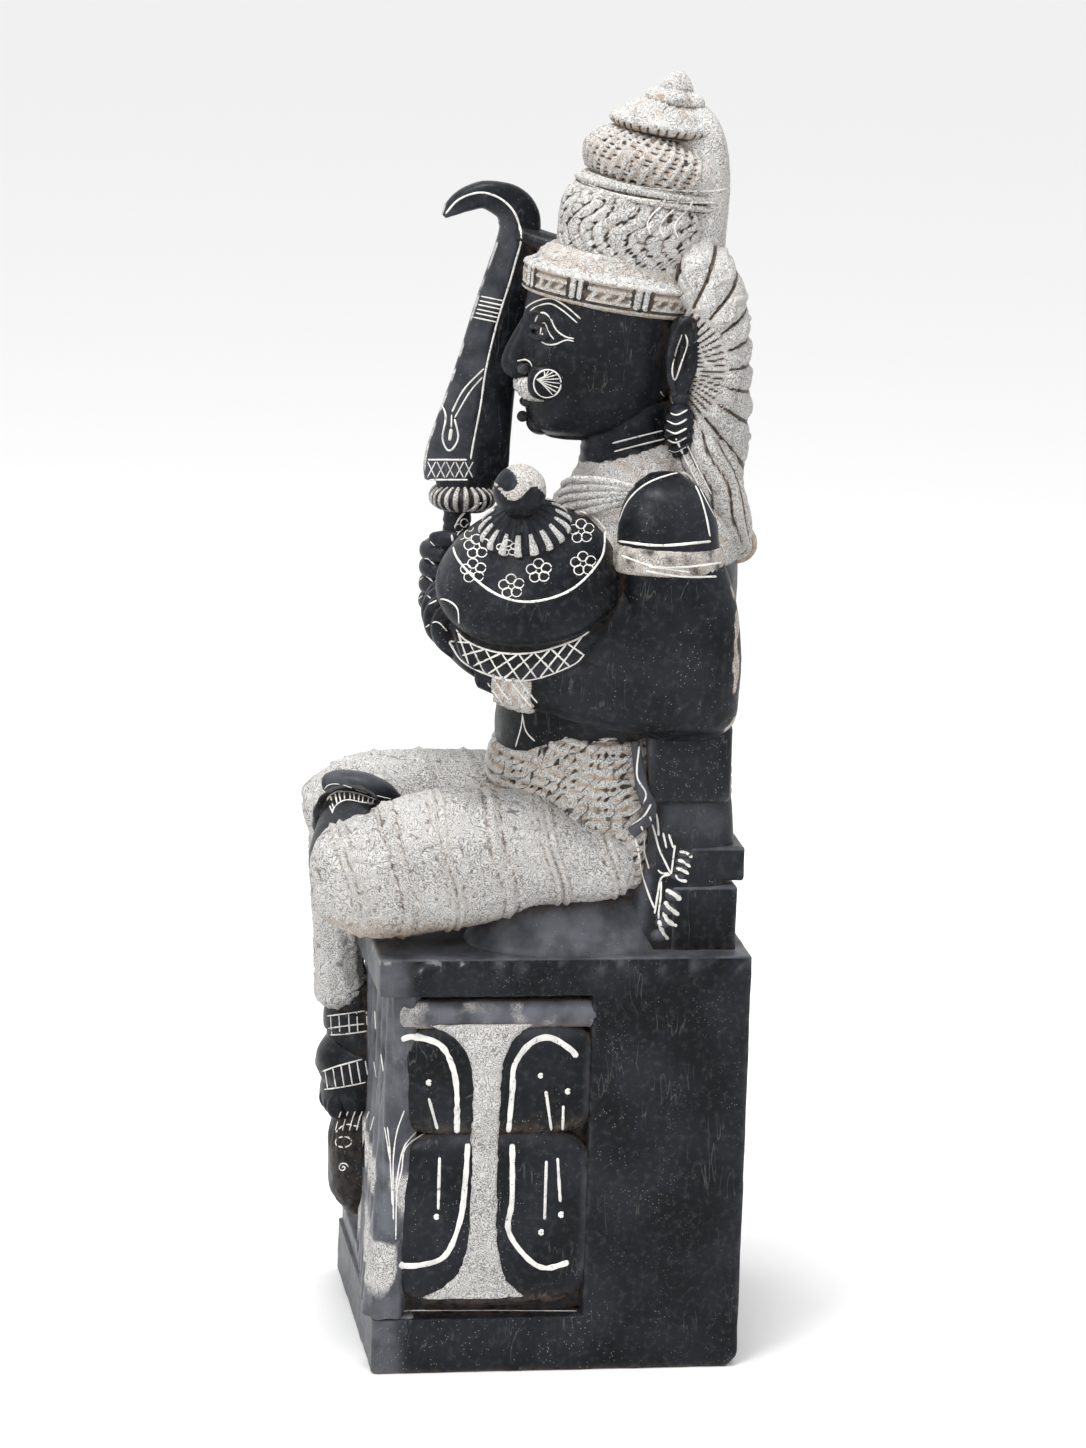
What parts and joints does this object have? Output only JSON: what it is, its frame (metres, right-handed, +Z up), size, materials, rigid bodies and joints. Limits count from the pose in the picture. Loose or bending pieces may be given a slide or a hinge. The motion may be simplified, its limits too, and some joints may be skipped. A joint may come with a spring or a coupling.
{
  "type": "munishvaran statue",
  "caption": "Seated guardian deity carved in black stone, with a tall crown, a hooked blade and a lidded pot, one leg folded on a block throne.",
  "frame": {"origin": "centre of the throne's underside", "axes": "+Z up, the figure faces -Y, its left hand is at +X"},
  "size_m": [0.2446, 0.3121, 0.8943],
  "materials": {
    "carved_black_stone": "rubbed smooth dark blue-grey stone, chiselled pale where the cloth, hair and crown are stippled",
    "chiselled_pale_stone": "the same stone left pale and matt by the chisel, pitted, with tan dirt in its hollows",
    "chalked_line": "shallow chiselled line, whitish and matt"
  },
  "bodies": {
    "root": {"munishvaran_statue": "carved_black_stone"}
  },
  "joints": []
}
